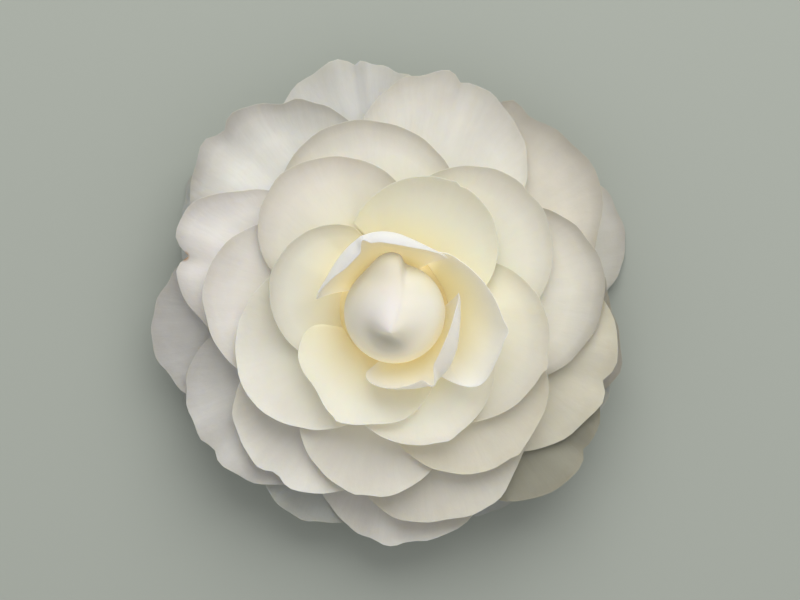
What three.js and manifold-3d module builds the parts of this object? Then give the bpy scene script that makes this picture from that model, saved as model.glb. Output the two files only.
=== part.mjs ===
// A white formal double camellia, picked with hardly any stalk and lying face up.
// Millimetres, +Z up out of the flower. The petals lie on each other like roof tiles, from the broad
// outer ones at the back to the three cups that stand round the closed heart. All of them grow out of
// one receptacle, under which sit the calyx and the cut stub of the stalk.
import * as THREE from 'three';
import { mergeVertices } from 'three/addons/utils/BufferGeometryUtils.js';
import Module from 'manifold-3d';

const wasm = await Module();
wasm.setup();

// The floral axis stands a little off the middle of the outline, and the receptacle's underside
// stands above the surface, on which the tips of the hindmost petals rest.
const AXIS_X = 1.2;
const AXIS_Y = -1.35;
const RECEPTACLE_BASE = 5.8;

// Petals of the pile: their thickness, where their blades start, and how wide each fans out.
const PETAL_THICKNESS = 0.65;
const PETAL_ROOT = 6;
const ROOT_LENGTH = 2.4;
const WIDEST_FAN = 72;
const ROW_PLACES = [0, 0.25, 0.52, 0.74, 0.89, 1];
const COLUMNS = 8;

// The pile is a family of nested dishes. The first number of each pair holds for the hindmost
// layer, the second for the foremost one.
const LAST_LAYER = 11.6;
const DISH_START = 8;
const DISH_REACH = [50, 27];
const DISH_HEIGHT = [1.3, 10.5];
const DISH_RISE = [3.5, 7.2];
const RISE_LENGTH = [6, 5];
const DISH_FALL = [3.5, 1.2];

// Each petal curls up besides, towards the rim that it has in common with the petals before it.
const RIM_CURL = [3.1, 3.8];
const CURL_POWER = 7;

// Soft unevenness of the pile and of the single petal.
const SWELL = 0.9;
const SWELLS_ROUND = 5;
const SWELL_TURN = 0.25;
const SWELL_POWER = 5;
const CROWN = 0.25;
const RESTING_TIP = 1.4;
const DROOP_POWER = 4;
const RESTING_PETALS = 4;

// Layers are counted round the axis at even azimuths, and even out over a few of them.
const AZIMUTHS = 120;
const EVEN_OUT = 3;
const SPAN_SAMPLES = 24;
const HIDDEN_RADIUS = 13;

// The petals of the pile, from the back to the front: azimuth of the tip, reach from the axis, and
// roundness of the left and the right side as a share of the reach. Where the outline departs
// from the round, its lobes follow, each with place across the blade, width and height.
const PETALS = [
  [-157, 47.6, 0.36, 0.36, [[0, 0.1, 0.4]]],
  [-62, 46.6, 0.34, 0.34, [[0, 0.1, 0.4]]],
  [18, 49.4, 0.38, 0.34, [[0.18, 0.15, 2], [-0.3, 0.17, -3]]],
  [152, 48.2, 0.34, 0.34, [[-0.1, 0.13, 2.5]]],
  [101, 51.2, 0.4, 0.32, [[0.1, 0.15, 0.8], [-0.15, 0.15, -0.9]]],
  [-24, 46.8, 0.34, 0.34, []],
  [-114, 46.4, 0.34, 0.36, [[-0.05, 0.15, 0.8]]],
  [-174, 49.6, 0.38, 0.36, [[-0.27, 0.1, -0.8], [0.02, 0.1, 0.6]]],
  [-88, 48.2, 0.44, 0.36, []],
  [-8, 47, 0.36, 0.46, [[0.13, 0.13, -2.6]]],
  [-39, 48.2, 0.38, 0.44, [[-0.12, 0.13, 1.8]]],
  [43, 48.9, 0.42, 0.43, [[-0.1, 0.1, 0.8]]],
  [134, 51.4, 0.4, 0.38, []],
  [-144, 47.8, 0.4, 0.38, [[-0.28, 0.1, 0.7]]],
  [-19.3, 46, 0.46, 0.45, []],
  [74, 48.5, 0.36, 0.38, [[0.26, 0.08, 0.9], [-0.25, 0.1, -0.4]]],
  [166, 45.2, 0.4, 0.38, [[-0.16, 0.13, 3.2], [0.27, 0.14, -2.6]]],
  [-72, 45, 0.4, 0.41, [[-0.27, 0.1, 1], [-0.03, 0.08, -1.1], [0.24, 0.08, -0.8]]],
  [-127, 42.6, 0.4, 0.39, [[-0.3, 0.1, 0.9]]],
  [9, 42.2, 0.4, 0.44, []],
  [108, 38.8, 0.47, 0.5, [[0, 0.1, 0.2]]],
  [175, 38.8, 0.46, 0.4, []],
  [-100, 38.6, 0.42, 0.4, [[-0.16, 0.1, -0.7], [0.23, 0.12, -1.2]]],
  [39, 35.6, 0.47, 0.49, []],
  [-50, 38.2, 0.44, 0.45, [[0.08, 0.1, -0.5]]],
  [131, 35, 0.4, 0.48, []],
  [-147, 34.8, 0.42, 0.55, [[0.2, 0.2, -1.5]]],
  [-22, 31.8, 0.5, 0.56, []],
  [62, 27.8, 0.56, 0.5, []],
  [165, 25.6, 0.56, 0.54, []],
  [-71, 28, 0.56, 0.55, []],
  [-118, 25.6, 0.54, 0.56, [[-0.2, 0.16, -1.9], [0.2, 0.14, -1.1]]],
].map(([azimuth, reach, left, right, lobes]) => ({ azimuth, reach, left, right, lobes }));

// The three cupped petals round the heart. Each has its middle azimuth, half its span, its root as
// radius and height, how fast it opens and rises at its right and left side, how round its corners
// are, and then, at even steps from the right side to the left one, the radius of its rim, how far
// the margin rolls in from it, and the height of the margin. Its tip has a place across the blade,
// a point that adds to the rim's radius and a notch that takes from the roll.
const CUP_THICKNESS = 0.65;
const CUP_ROWS = 7;
const CUP_COLUMNS = 16;
const CUP_ROOT_FAN = 0.5;
const CURL_START = 0.7;
const CORNER_POWER = 10;
const CUP_TIP_WIDTH = 0.06;
const CUPS = [
  { azimuth: 2, span: 61, root: [8.3, 12.6], opening: [1.2, 2], rising: [1.3, 1.1], corner: 0.25,
    rim: [17, 22.3, 22.3, 21.9, 19.9, 17.8, 16, 14.6, 12.6],
    roll: [0, 0, 0, 0, 0, 0, 0, 0, 0],
    height: [20.5, 24.5, 25.8, 26.3, 26.5, 26.4, 25.8, 22.5, 15], tip: [-0.22, 0.8, 0] },
  { azimuth: -52, span: 66, root: [7.9, 13.4], opening: [1.6, 1.6], rising: [1, 1], corner: 0.12,
    rim: [15.6, 15.9, 16.4, 17.1, 16.6, 15.1, 13.6, 12.95, 13.1],
    roll: [0, 0.1, 0.9, 2.4, 3.8, 3.5, 2.3, 1.4, 0.7],
    height: [22, 24.5, 26.2, 27.5, 28.5, 29, 28.6, 27.5, 26], tip: [-0.18, 0.3, 2.4] },
  { azimuth: 109, span: 65, root: [7.6, 13.8], opening: [1.9, 1.9], rising: [1, 1], corner: 0.05,
    rim: [14.2, 13.7, 14.1, 15.2, 15.9, 15.7, 15.2, 15.1, 16],
    roll: [0.1, 0.8, 1.9, 2.7, 2.5, 3.1, 2.7, 1.1, 0.2],
    height: [25.5, 28, 29.8, 30.6, 30.6, 30.2, 29.2, 27.5, 24.5], tip: [0.115, 0, 1.6] },
];

// The receptacle as radius and height: a stout neck with a hollow top, in which the heart sits.
const RECEPTACLE = [[0, 0], [7, 0], [10.5, 2.2], [11.8, 6], [12, 10], [11, 13.2], [9.3, 14.8],
  [8, 14.9], [5, 12.55], [2.5, 11.6], [0, 11.3]];
const RECEPTACLE_SIDES = 22;

// The closed heart: a ball whose pole is a beak that leans to the front. One sheet wraps it from
// the left, ends in the beak and has its free edge down the middle, with a crest at the back. Under
// the beak the ball is dented. Angles are in degrees, from the beak and round it.
const HEART_PLACE = [-0.2, -1, 22];
const HEART_RADIUS = 10.1;
const HEART_LEAN = 22;
const HEART_TILT = -4.5;
const HEART_SIDES = 32;
const HEART_RINGS = 18;
const SHEET_STEP = 0.28;
const SHEET_EDGE = [55, 26];
const SHEET_SPAN = 126;
const SHEET_CREST = 2.4;
const CREST_PLACE = [84, 6];
const CREST_WIDTH = [20, 23];
const BEAK_LENGTH = 2;
const BEAK_WIDTH = [6, 22];
const BEAK_POWER = 1.4;
const DENT_DEPTH = 0.9;
const DENT_PLACE = [24, -118];
const DENT_WIDTH = [12, 75];

// The calyx: a flat cup with a ring of overlapping sepals.
const CALYX = [[0, -2.8], [3.6, -2.8], [5.6, -1.6], [5.8, -0.4], [0, -0.4]];
const SEPALS = 6;
const SEPAL_THICKNESS = 0.65;
const SEPAL_SPAN = 38;
const SEPAL_STEP = 0.9;
const SEPAL_ROWS = 3;
const SEPAL_COLUMNS = 4;
const SEPAL_FALL = 0.3;
const SEPAL_ROOT_FAN = 0.5;
const SEPAL_MIDRIB = [[3, -1.6], [6, -1.3], [9, 0.1], [11.4, 1.2]];

// The stub of the stalk
const STALK_RADIUS = 2.1;
const STALK_TOP = -3.1;
const STALK_CUT = -5;
const STALK_SIDES = 14;

// Step along a surface for its normals, and the distance under which two points are one
const NORMAL_STEP = 1e-3;
const MERGE_DISTANCE = 1e-4;

const degrees = (angle) => angle * Math.PI / 180;
const mix = ([back, front], share) => back + (front - back) * share;
const bell = (distance, width) => Math.exp(-((distance / width) ** 2));
const evenly = (steps) => Array.from({ length: steps + 1 }, (_, k) => k / steps);

// Solids

// A closed blade of even thickness: point(t, b) is its upper face, from root to tip and from one
// side to the other, with a row of points at each of the places along it. Both faces are split
// into triangles alike.
function blade(point, places, columns, thickness) {
  const positions = [];
  const index = [];
  const lower = [];
  for (const t of places) {
    for (let j = 0; j <= columns; j++) {
      const b = 2 * j / columns - 1;
      const upper = point(t, b);
      const along = point(t + NORMAL_STEP, b).sub(point(t - NORMAL_STEP, b));
      const across = point(t, b + NORMAL_STEP).sub(point(t, b - NORMAL_STEP));
      const normal = along.cross(across).normalize();
      positions.push(upper);
      lower.push(upper.clone().addScaledVector(normal, -thickness));
    }
  }
  const rows = places.length - 1;
  const count = positions.length;
  positions.push(...lower);
  const at = (i, j) => i * (columns + 1) + j;
  const face = (a, b, c) => {
    index.push(a, b, c);
    index.push(a + count, c + count, b + count);
  };
  for (let i = 0; i < rows; i++) {
    for (let j = 0; j < columns; j++) {
      face(at(i, j), at(i + 1, j), at(i + 1, j + 1));
      face(at(i, j), at(i + 1, j + 1), at(i, j + 1));
    }
  }
  const wall = (a, b) => index.push(a, a + count, b + count, a, b + count, b);
  for (let i = 0; i < rows; i++) {
    wall(at(i, 0), at(i + 1, 0));
    wall(at(i + 1, columns), at(i, columns));
  }
  for (let j = 0; j < columns; j++) {
    wall(at(rows, j), at(rows, j + 1));
    wall(at(0, j + 1), at(0, j));
  }
  return solidOf(positions, index);
}

function solidOf(points, index) {
  const vertProperties = new Float32Array(points.flatMap((p) => [p.x, p.y, p.z]));
  return new wasm.Manifold(new wasm.Mesh({ numProp: 3, vertProperties, triVerts: new Uint32Array(index) }));
}

function solidOfGeometry(geometry) {
  geometry.deleteAttribute('normal');
  geometry.deleteAttribute('uv');
  const merged = mergeVertices(geometry, MERGE_DISTANCE);
  const { array } = merged.getAttribute('position');
  return new wasm.Manifold(new wasm.Mesh({
    numProp: 3, vertProperties: new Float32Array(array), triVerts: new Uint32Array(merged.index.array),
  }));
}

// The largest body of a solid, without the small hollows that closed up where its pieces met.
function wholeBody(solid) {
  return solid.decompose().reduce((largest, body) => (body.volume() > largest.volume() ? body : largest));
}

// A solid of revolution about the floral axis, from a closed outline of radius and height.
function turned(outline, sides) {
  const points = outline.map(([radius, height]) => new THREE.Vector2(radius, height));
  const lathe = new THREE.LatheGeometry(points, sides);
  lathe.rotateX(Math.PI / 2);
  return solidOfGeometry(lathe);
}

function meshOf(name, solid, material) {
  const { vertProperties, triVerts } = solid.getMesh();
  const geometry = new THREE.BufferGeometry();
  geometry.setAttribute('position', new THREE.BufferAttribute(vertProperties, 3));
  geometry.setIndex(new THREE.BufferAttribute(triVerts, 1));
  geometry.computeVertexNormals();
  const mesh = new THREE.Mesh(geometry, material);
  mesh.name = name;
  return mesh;
}

// Petals of the pile

const cells = Array.from({ length: AZIMUTHS }, (_, k) => k);
const cellAt = (azimuth) => (Math.round(azimuth / (2 * Math.PI) * AZIMUTHS) + AZIMUTHS) % AZIMUTHS;

// How far the petal reaches from the axis, azimuth by azimuth, and 0 where it isn't.
function rimRadii(petal) {
  const radii = cells.map(() => 0);
  for (let i = 1; i <= SPAN_SAMPLES; i++) {
    for (let j = -SPAN_SAMPLES; j <= SPAN_SAMPLES; j++) {
      const [x, y] = inPlace(petal, petalPlan(petal, i / SPAN_SAMPLES, j / SPAN_SAMPLES));
      const radius = Math.hypot(x, y);
      const cell = cellAt(Math.atan2(y, x));
      if (radius > HIDDEN_RADIUS) radii[cell] = Math.max(radii[cell], radius);
    }
  }
  return radii;
}

// Raised to the highest neighbour and then averaged, so that it never falls short.
function evened(values) {
  const near = (list, k) => {
    const around = [];
    for (let s = -EVEN_OUT; s <= EVEN_OUT; s++) around.push(list[(k + s + AZIMUTHS) % AZIMUTHS]);
    return around;
  };
  const raised = cells.map((k) => Math.max(...near(values, k)));
  return cells.map((k) => near(raised, k).reduce((sum, value) => sum + value) / (2 * EVEN_OUT + 1));
}

// Each petal lies one layer above the highest petal that it covers, and curls up towards the
// farthest rim among its own and those of the petals before it.
function stackPetals() {
  let top = cells.map(() => -1);
  for (const petal of PETALS) {
    petal.radii = rimRadii(petal);
    petal.layers = evened(top).map((layer) => layer + 1);
    top = cells.map((k) => (petal.radii[k] > 0 ? petal.layers[k] : top[k]));
  }
  let farthest = cells.map(() => 0);
  for (const petal of [...PETALS].reverse()) {
    farthest = cells.map((k) => Math.max(farthest[k], petal.radii[k]));
    petal.rims = evened(farthest);
  }
}

function atAzimuth(values, azimuth) {
  const place = (azimuth / (2 * Math.PI) + 1) * AZIMUTHS;
  const low = Math.floor(place);
  const share = place - low;
  return values[low % AZIMUTHS] * (1 - share) + values[(low + 1) % AZIMUTHS] * share;
}

function inPlace({ azimuth }, [p, q]) {
  const turn = degrees(azimuth);
  return [p * Math.cos(turn) - q * Math.sin(turn), p * Math.sin(turn) + q * Math.cos(turn)];
}

// Height of a petal of the pile over a place in the plan: its dish rises from the root, falls a
// little outwards and curls up at the rim.
function pileHeight(petal, radius, azimuth) {
  const layer = atAzimuth(petal.layers, azimuth);
  const share = layer / LAST_LAYER;
  const out = (radius - DISH_START) / (mix(DISH_REACH, share) - DISH_START);
  const rise = mix(DISH_RISE, share) * (1 - Math.exp((DISH_START - radius) / mix(RISE_LENGTH, share)));
  const fall = mix(DISH_FALL, share) * out ** 2;
  const curl = mix(RIM_CURL, share) * (radius / atAzimuth(petal.rims, azimuth)) ** CURL_POWER;
  const fade = (radius / DISH_REACH[0]) ** SWELL_POWER;
  const swell = SWELL * fade * Math.sin(SWELLS_ROUND * azimuth + SWELL_TURN * layer);
  return mix(DISH_HEIGHT, share) + rise - fall + curl + swell;
}

// Outline: straight sides fan out from the root and pass into a round end, whose radius is a share
// of the reach and may differ from left to right.
function petalPlan({ reach, left, right, lobes }, t, b) {
  const round = (b > 0 ? left : right) * reach;
  const centre = reach - round - PETAL_ROOT;
  const tangent = centre > round ? Math.asin(round / centre) : Infinity;
  const widest = Math.min(degrees(WIDEST_FAN), tangent);
  const turn = widest * Math.sin(Math.min(Math.abs(b), 1) * Math.PI / 2);
  const inside = Math.max(0, round ** 2 - (centre * Math.sin(turn)) ** 2);
  const lobe = lobes.reduce((sum, [place, width, height]) => sum + height * bell(b - place, width), 0);
  const length = centre * Math.cos(turn) + Math.sqrt(inside) + lobe;
  const run = ROOT_LENGTH + (length - ROOT_LENGTH) * t;
  return [PETAL_ROOT + run * Math.cos(turn), Math.sign(b) * run * Math.sin(turn)];
}

// The hindmost petals bend down until their tips touch the surface.
function droopOf(petal) {
  if (PETALS.indexOf(petal) >= RESTING_PETALS) return 0;
  return pileHeight(petal, petal.reach, degrees(petal.azimuth)) + RECEPTACLE_BASE - RESTING_TIP;
}

function petalBlade(petal) {
  const droop = droopOf(petal);
  const point = (t, b) => {
    const plan = petalPlan(petal, t, b);
    const [x, y] = inPlace(petal, plan);
    const height = pileHeight(petal, Math.hypot(x, y), Math.atan2(y, x));
    const along = plan[0] / petal.reach;
    return new THREE.Vector3(x, y, height - CROWN * t * b * b - droop * Math.max(0, along) ** DROOP_POWER);
  };
  return blade(point, ROW_PLACES, COLUMNS, PETAL_THICKNESS);
}

// A smooth curve through values at even steps, at a share of its length.
function smoothly(values, share) {
  const last = values.length - 1;
  const place = Math.min(1, Math.max(0, share)) * last;
  const low = Math.min(Math.floor(place), last);
  const [before, here, next, after] = [-1, 0, 1, 2].map((k) => values[Math.min(last, Math.max(0, low + k))]);
  const rest = place - low;
  const start = (next - before) / 2;
  const end = (after - here) / 2;
  return (2 * here - 2 * next + start + end) * rest ** 3 + (3 * next - 3 * here - 2 * start - end) * rest ** 2
    + start * rest + here;
}

const fanned = (rootFan, along) => Math.sin((rootFan + (1 - rootFan) * along) * Math.PI / 2);

function polar(radius, azimuth, height) {
  return new THREE.Vector3(radius * Math.cos(azimuth), radius * Math.sin(azimuth), height);
}

function cupBlade({ azimuth, span, root, opening, rising, corner, rim, roll, height, tip }) {
  const [place, pointLength, notch] = tip;
  const point = (t, b) => {
    const share = (b + 1) / 2;
    const nearTip = Math.exp(-(((b - place) / CUP_TIP_WIDTH) ** 2));
    const along = Math.min(1, Math.max(0, t)) * (1 - corner * Math.min(1, Math.abs(b)) ** CORNER_POWER);
    const reach = smoothly(rim, share) + pointLength * nearTip * along ** 8;
    const rolled = Math.max(0, smoothly(roll, share) - notch * nearTip);
    const curl = Math.max(0, (along - CURL_START) / (1 - CURL_START)) ** 2;
    const radius = root[0] + (reach - root[0]) * (1 - (1 - along) ** mix(opening, share)) - rolled * curl;
    const rise = along ** mix(rising, share);
    const z = root[1] + (smoothly(height, share) - root[1]) * rise;
    return polar(radius, degrees(azimuth + span * b * fanned(CUP_ROOT_FAN, along)), z);
  };
  return blade(point, evenly(CUP_ROWS), CUP_COLUMNS, CUP_THICKNESS);
}

function petals() {
  stackPetals();
  let solid = turned(RECEPTACLE, RECEPTACLE_SIDES);
  for (const petal of PETALS) {
    solid = solid.add(petalBlade(petal));
  }
  for (const cup of CUPS) {
    solid = solid.add(cupBlade(cup));
  }
  return wholeBody(solid);
}

// The angle between two directions, from -180 to 180 degrees
const between = (first, second) => ((first - second + 540) % 360) - 180;

// Distance of the heart's surface from its middle.
function heartRadius(down, turn) {
  const back = (1 + Math.sin(degrees(turn))) / 2;
  const beak = BEAK_LENGTH * Math.exp(-((down / mix(BEAK_WIDTH, back)) ** BEAK_POWER));
  const under = bell(between(turn, DENT_PLACE[1]), DENT_WIDTH[1]);
  const dent = DENT_DEPTH * under * bell(down - DENT_PLACE[0], DENT_WIDTH[0]);
  const apart = between(turn, SHEET_EDGE[0] + SHEET_EDGE[1] * Math.sin(degrees(down)));
  const onSheet = apart > 0 && apart < SHEET_SPAN ? 1 : 0;
  const upCrest = bell(down - CREST_PLACE[0], CREST_WIDTH[0]) * bell(apart - CREST_PLACE[1], CREST_WIDTH[1]);
  return HEART_RADIUS - SHEET_STEP + beak - dent + onSheet * (SHEET_STEP + SHEET_CREST * upCrest);
}

function heartBud() {
  const points = [];
  const index = [];
  const lean = new THREE.Matrix4().makeRotationX(degrees(HEART_LEAN));
  lean.multiply(new THREE.Matrix4().makeRotationY(degrees(HEART_TILT)));
  const push = (down, turn) => {
    const out = polar(Math.sin(degrees(down)), degrees(turn), Math.cos(degrees(down)));
    points.push(out.multiplyScalar(heartRadius(down, turn)).applyMatrix4(lean));
  };
  push(0, 0);
  for (let i = 1; i < HEART_RINGS; i++) {
    for (let j = 0; j < HEART_SIDES; j++) {
      push(180 * i / HEART_RINGS, 360 * j / HEART_SIDES);
    }
  }
  push(180, 0);
  const at = (i, j) => 1 + (i - 1) * HEART_SIDES + j % HEART_SIDES;
  for (let j = 0; j < HEART_SIDES; j++) {
    index.push(0, at(1, j), at(1, j + 1));
    index.push(points.length - 1, at(HEART_RINGS - 1, j + 1), at(HEART_RINGS - 1, j));
    for (let i = 1; i < HEART_RINGS - 1; i++) {
      index.push(at(i, j), at(i + 1, j), at(i + 1, j + 1));
      index.push(at(i, j), at(i + 1, j + 1), at(i, j + 1));
    }
  }
  return solidOf(points, index);
}

function sepalBlade(azimuth, lift) {
  const midrib = SEPAL_MIDRIB.map(([radius, height]) => new THREE.Vector2(radius, height));
  const curve = new THREE.SplineCurve(midrib);
  const point = (t, b) => {
    const along = Math.min(1, Math.max(0, t)) * (1 - SEPAL_FALL * Math.min(1, b * b));
    const { x: radius, y: height } = curve.getPoint(along);
    return polar(radius, degrees(azimuth + SEPAL_SPAN * b * fanned(SEPAL_ROOT_FAN, along)), height - lift);
  };
  return blade(point, evenly(SEPAL_ROWS), SEPAL_COLUMNS, SEPAL_THICKNESS);
}

function calyx() {
  let solid = turned(CALYX, RECEPTACLE_SIDES);
  for (let k = 0; k < SEPALS; k++) {
    solid = solid.add(sepalBlade(360 * k / SEPALS, SEPAL_STEP * (k % 2)));
  }
  return wholeBody(solid);
}

function stalk() {
  const outline = [[0, STALK_CUT], [STALK_RADIUS, STALK_CUT], [STALK_RADIUS, STALK_TOP], [0, STALK_TOP]];
  return turned(outline, STALK_SIDES);
}

const petalWhite = new THREE.MeshStandardMaterial({ color: 0xf4f1e4, roughness: 0.6 });
const heartCream = new THREE.MeshStandardMaterial({ color: 0xf6f0cf, roughness: 0.55 });
const sepalGreen = new THREE.MeshStandardMaterial({ color: 0x8a9a55, roughness: 0.7 });
const stalkBrown = new THREE.MeshStandardMaterial({ color: 0x7a5a3c, roughness: 0.8 });

const camellia = new THREE.Group();
const heart = meshOf('heart_bud', heartBud(), heartCream);
heart.position.set(...HEART_PLACE);
camellia.add(
  meshOf('petals', petals(), petalWhite),
  heart,
  meshOf('calyx', calyx(), sepalGreen),
  meshOf('stalk', stalk(), stalkBrown),
);
camellia.position.set(AXIS_X, AXIS_Y, RECEPTACLE_BASE);
camellia.updateMatrixWorld(true);

export default camellia;
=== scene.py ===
import math

import bpy
import numpy as np
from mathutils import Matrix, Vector


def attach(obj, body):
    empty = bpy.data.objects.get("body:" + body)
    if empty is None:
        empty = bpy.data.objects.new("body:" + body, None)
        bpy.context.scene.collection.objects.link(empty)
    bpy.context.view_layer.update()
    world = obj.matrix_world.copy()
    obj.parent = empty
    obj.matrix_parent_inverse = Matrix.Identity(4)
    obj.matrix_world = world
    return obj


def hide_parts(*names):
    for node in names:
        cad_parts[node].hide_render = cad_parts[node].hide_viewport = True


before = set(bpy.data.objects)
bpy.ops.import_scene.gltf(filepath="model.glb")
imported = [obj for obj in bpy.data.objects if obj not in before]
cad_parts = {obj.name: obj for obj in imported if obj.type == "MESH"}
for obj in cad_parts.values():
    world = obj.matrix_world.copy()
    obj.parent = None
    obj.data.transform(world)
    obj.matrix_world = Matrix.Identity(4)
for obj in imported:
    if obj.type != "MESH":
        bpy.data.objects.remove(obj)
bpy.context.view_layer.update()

MM = 0.001
BODY = "root"
WHITE = (1.0, 1.0, 1.0)
BLACK = (0.0, 0.0, 0.0)

# Where the flower stands: the floral axis and the underside of the receptacle
AXIS_X = 1.2
AXIS_Y = -1.35
RECEPTACLE_BASE = 5.8

# The camera looks straight down on the flower, from the photograph's middle.
CAMERA_X = 2.0
CAMERA_Y = 0.25
CAMERA_HEIGHT = 620.0
FIELD_WIDTH = 160.0
FIELD_HEIGHT_ABOVE_FLOOR = 22.0
SENSOR_WIDTH = 36.0
CLIP_START = 10.0

# Petals of the pile: how far from the axis the centre of a blade's fan lies, how far from there the
# blade starts, how wide it fans out and how fine its mesh is
PETAL_ROOT = 6.0
ROOT_LENGTH = 2.4
WIDEST_FAN = math.radians(72)
PETAL_ROWS = 42
PETAL_COLUMNS = 72

# How thick every blade is in its middle and at its rim, and how late it thins
BODY_THICKNESS = 0.42
RIM_THICKNESS = 0.1
THIN_POWER = 8

# The pile is a family of nested dishes. The first number of each pair holds for the hindmost
# layer, the second for the foremost one.
LAST_LAYER = 11.6
DISH_START = 8.0
DISH_REACH = (50.0, 27.0)
DISH_HEIGHT = (1.3, 10.5)
DISH_RISE = (3.5, 7.2)
RISE_LENGTH = (6.0, 5.0)
DISH_FALL = (3.5, 1.2)

# Each petal curls up besides, towards the rim that it has in common with the petals before it.
RIM_CURL = (3.1, 3.8)
CURL_POWER = 7

# Soft unevenness of the pile, and how much lower than its midrib the sides of a petal lie
SWELL = 0.9
SWELLS_ROUND = 5
SWELL_TURN = 0.25
SWELL_POWER = 5
CROWN = 0.25

# The hindmost petals droop until their tips rest on the floor: how many they are, how high the upper
# face of a tip lies, how softly it lies down there and how late the petal droops
RESTING_PETALS = 4
RESTING_TIP = 0.3
RESTING_SOFTNESS = 0.25
DROOP_POWER = 4

# Layers are counted round the axis at even azimuths, and even out over a few of them. Places on a
# petal are sampled for it, and those that the heart hides don't count.
AZIMUTHS = 120
EVEN_OUT = 3
SPAN_SAMPLES = 24
HIDDEN_RADIUS = 13.0

# The petals of the pile, from the back to the front: azimuth of the tip, reach from the axis and
# roundness of the left and the right side as a share of the reach. What departs from the round
# outline follows as lobes, each with its place across the blade, its width and its height,
# negative for a notch.
PETALS = [
    (-157, 47.6, 0.36, 0.36, [(0, 0.1, 0.4)]),
    (-62, 46.6, 0.34, 0.34, [(0, 0.1, 0.4)]),
    (18, 49.4, 0.38, 0.34, [(0.18, 0.15, 2), (-0.3, 0.17, -3)]),
    (152, 48.2, 0.34, 0.34, [(-0.1, 0.13, 2.5)]),
    (101, 51.2, 0.4, 0.32, [(-0.02, 0.02, -1.1), (0.1, 0.15, 0.8), (-0.15, 0.15, -0.9)]),
    (-24, 46.8, 0.34, 0.34, []),
    (-114, 46.4, 0.34, 0.36, [(-0.05, 0.15, 0.8)]),
    (-174, 49.6, 0.38, 0.36, [(-0.27, 0.1, -0.8), (0.02, 0.1, 0.6)]),
    (-88, 48.2, 0.44, 0.36, [(0.02, 0.03, -0.6)]),
    (-8, 47, 0.36, 0.46, [(-0.08, 0.05, 1), (0.13, 0.13, -2.6)]),
    (-39, 48.2, 0.38, 0.44, [(-0.12, 0.13, 1.8), (0.025, 0.025, -1.3)]),
    (43, 48.9, 0.42, 0.43, [(0.2, 0.05, 2.8), (-0.1, 0.1, 0.8)]),
    (134, 51.4, 0.4, 0.38, [(0.01, 0.03, -1.3), (-0.22, 0.06, -0.8)]),
    (-144, 47.8, 0.4, 0.38, [(0.02, 0.03, -1.1), (-0.28, 0.1, 0.7)]),
    (-19.3, 46, 0.46, 0.45, [(0.0, 0.025, -1.8)]),
    (74, 48.5, 0.36, 0.38, [(0.26, 0.08, 0.9), (0.06, 0.05, 0.9), (0, 0.025, -1.3), (-0.25, 0.1, -0.4)]),
    (166, 45.2, 0.4, 0.38, [(-0.16, 0.13, 3.2), (0.27, 0.14, -2.6), (0, 0.025, -2.4)]),
    (-72, 45, 0.4, 0.41, [(-0.27, 0.1, 1), (-0.03, 0.08, -1.1), (0.24, 0.08, -0.8)]),
    (-127, 42.6, 0.4, 0.39, [(0.01, 0.04, -1.1), (-0.3, 0.1, 0.9)]),
    (9, 42.2, 0.4, 0.44, [(0, 0.03, 0.3)]),
    (108, 38.8, 0.47, 0.5, [(0, 0.1, 0.2)]),
    (175, 38.8, 0.46, 0.4, [(0, 0.05, 0.3)]),
    (-100, 38.6, 0.42, 0.4, [(0.01, 0.03, -0.5), (-0.16, 0.1, -0.7), (0.23, 0.12, -1.2)]),
    (39, 35.6, 0.47, 0.49, [(0.02, 0.03, -0.4)]),
    (-50, 38.2, 0.44, 0.45, [(0, 0.02, 0.6), (0.08, 0.1, -0.5)]),
    (131, 35, 0.4, 0.48, [(0, 0.06, 0.3)]),
    (-147, 34.8, 0.42, 0.55, [(-0.03, 0.03, 0.2), (0.2, 0.2, -1.5)]),
    (-22, 31.8, 0.5, 0.56, [(0.01, 0.025, 0.9)]),
    (62, 27.8, 0.56, 0.5, [(0, 0.02, -0.4), (0.02, 0.02, 0.3)]),
    (165, 25.6, 0.56, 0.54, [(0, 0.05, 0.3)]),
    (-71, 28, 0.56, 0.55, [(0.03, 0.04, 0.5)]),
    (-118, 25.6, 0.54, 0.56, [(-0.2, 0.16, -1.9), (0.2, 0.14, -1.1), (0.01, 0.02, 0.4)]),
]

# Colours of a petal outwards from the axis, as shares of a distance. The yellow of the throat is partly the
# petal's own and partly painted light thrown about in the throat. The darkening outwards is partly painted
# shade for the lesser light on the outer petals.
COLOR_REACH = 52.0
PETAL_COLORS = [
    (0.16, (0.91, 0.8, 0.44)), (0.27, (0.91, 0.86, 0.61)), (0.4, (0.9, 0.88, 0.75)),
    (0.6, (0.885, 0.86, 0.795)), (0.8, (0.855, 0.83, 0.775)), (1.0, (0.82, 0.795, 0.75)),
]
BRIGHTEST = 0.97

# Deep in the pile a petal is darker: painted shade, where the petals above keep the light off. These are
# shades upwards from the receptacle's underside, as shares of a height.
SHADE_HEIGHT = 20.0
DEEP_PAINTED_SHADES = [(0.1, (0.72, 0.72, 0.72)), (0.35, (0.9, 0.9, 0.9)), (0.55, WHITE)]
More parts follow.
